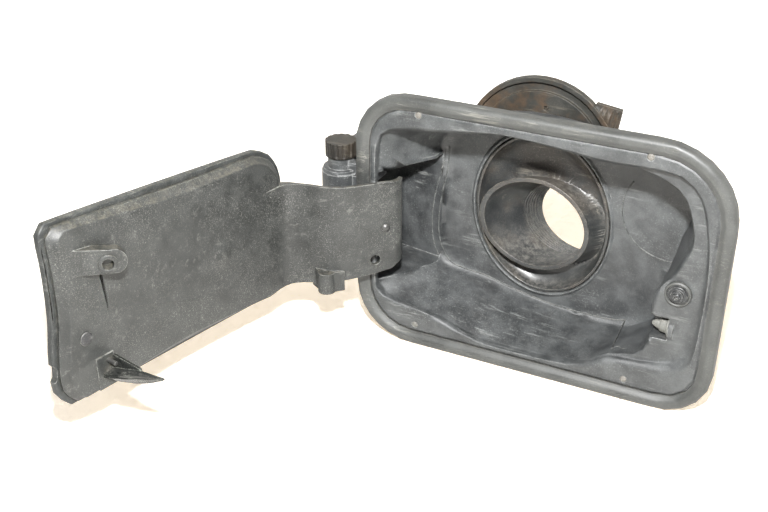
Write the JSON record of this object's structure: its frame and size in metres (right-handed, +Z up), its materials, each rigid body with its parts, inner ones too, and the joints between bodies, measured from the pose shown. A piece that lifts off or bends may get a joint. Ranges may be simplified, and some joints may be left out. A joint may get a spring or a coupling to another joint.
{
  "type": "fuel filler door unit",
  "caption": "Moulded filler pocket with a rubber rim, an oblique filler sleeve, a rear boot, a push-pull lock and a hinged door on a gooseneck arm.",
  "frame": {"origin": "middle of the rectangle of four fixing pegs, on the back face of the flange", "axes": "+X along the rim from the hinge side to the lock side, +Y into the pocket along the fixing pegs, +Z up"},
  "size_m": [0.3129, 0.2794, 0.17],
  "materials": {
    "housing_plastic": "grained black moulding, dusty and scuffed",
    "rim_rubber": "matt black rubber, greyed by dust",
    "pale_plastic": "natural off-white plastic",
    "sleeve_plastic": "smooth black moulding with brown dust",
    "boot_rubber": "matt black rubber with brown dust",
    "zinc_steel": "dull zinc plated steel",
    "black_steel": "blackened steel",
    "cap_plastic": "brown-black plastic",
    "lock_plastic": "matt black plastic",
    "brass": "tinned contact",
    "grey_plastic": "grey plastic",
    "door_plastic": "grained black moulding, dusty and scuffed",
    "cover_plastic": "satin black moulding",
    "hook_plastic": "glossy black plastic"
  },
  "bodies": {
    "pocket": {"housing": "housing_plastic", "rim_seal": "rim_rubber", "fixing_pegs": "pale_plastic", "filler_sleeve": "sleeve_plastic", "rear_boot": "boot_rubber", "fixing_bolt": "black_steel", "bolt_washer": "zinc_steel", "bolt_grommet": "boot_rubber", "hinge_bush_upper": "pale_plastic", "hinge_bush_lower": "pale_plastic", "hinge_cap": "cap_plastic", "actuator_body": "lock_plastic", "actuator_cover": "lock_plastic", "actuator_screws": "zinc_steel", "connector_terminals": "brass", "plunger_guide": "grey_plastic"},
    "door": {"door_carrier": "door_plastic", "door_cover": "cover_plastic", "latch_hook": "hook_plastic", "hook_screw": "zinc_steel", "eye_bush": "hook_plastic", "door_buffer": "boot_rubber", "hinge_pin": "zinc_steel", "pin_clip": "zinc_steel", "hinge_spring": "zinc_steel", "stop_rivet": "zinc_steel", "stop_buffer": "boot_rubber"},
    "plunger": {"lock_plunger": "grey_plastic"}
  },
  "joints": [
    {"name": "door_hinge", "type": "hinge", "parent": "pocket", "child": "door", "pos_m": [-0.12775, 0.0074, 0], "axis": [0, 0, 1], "range_deg": [0, 102]},
    {"name": "lock_slide", "type": "slide", "parent": "pocket", "child": "plunger", "axis": [-1, 0, 0], "range_m": [0, 0.015]}
  ]
}
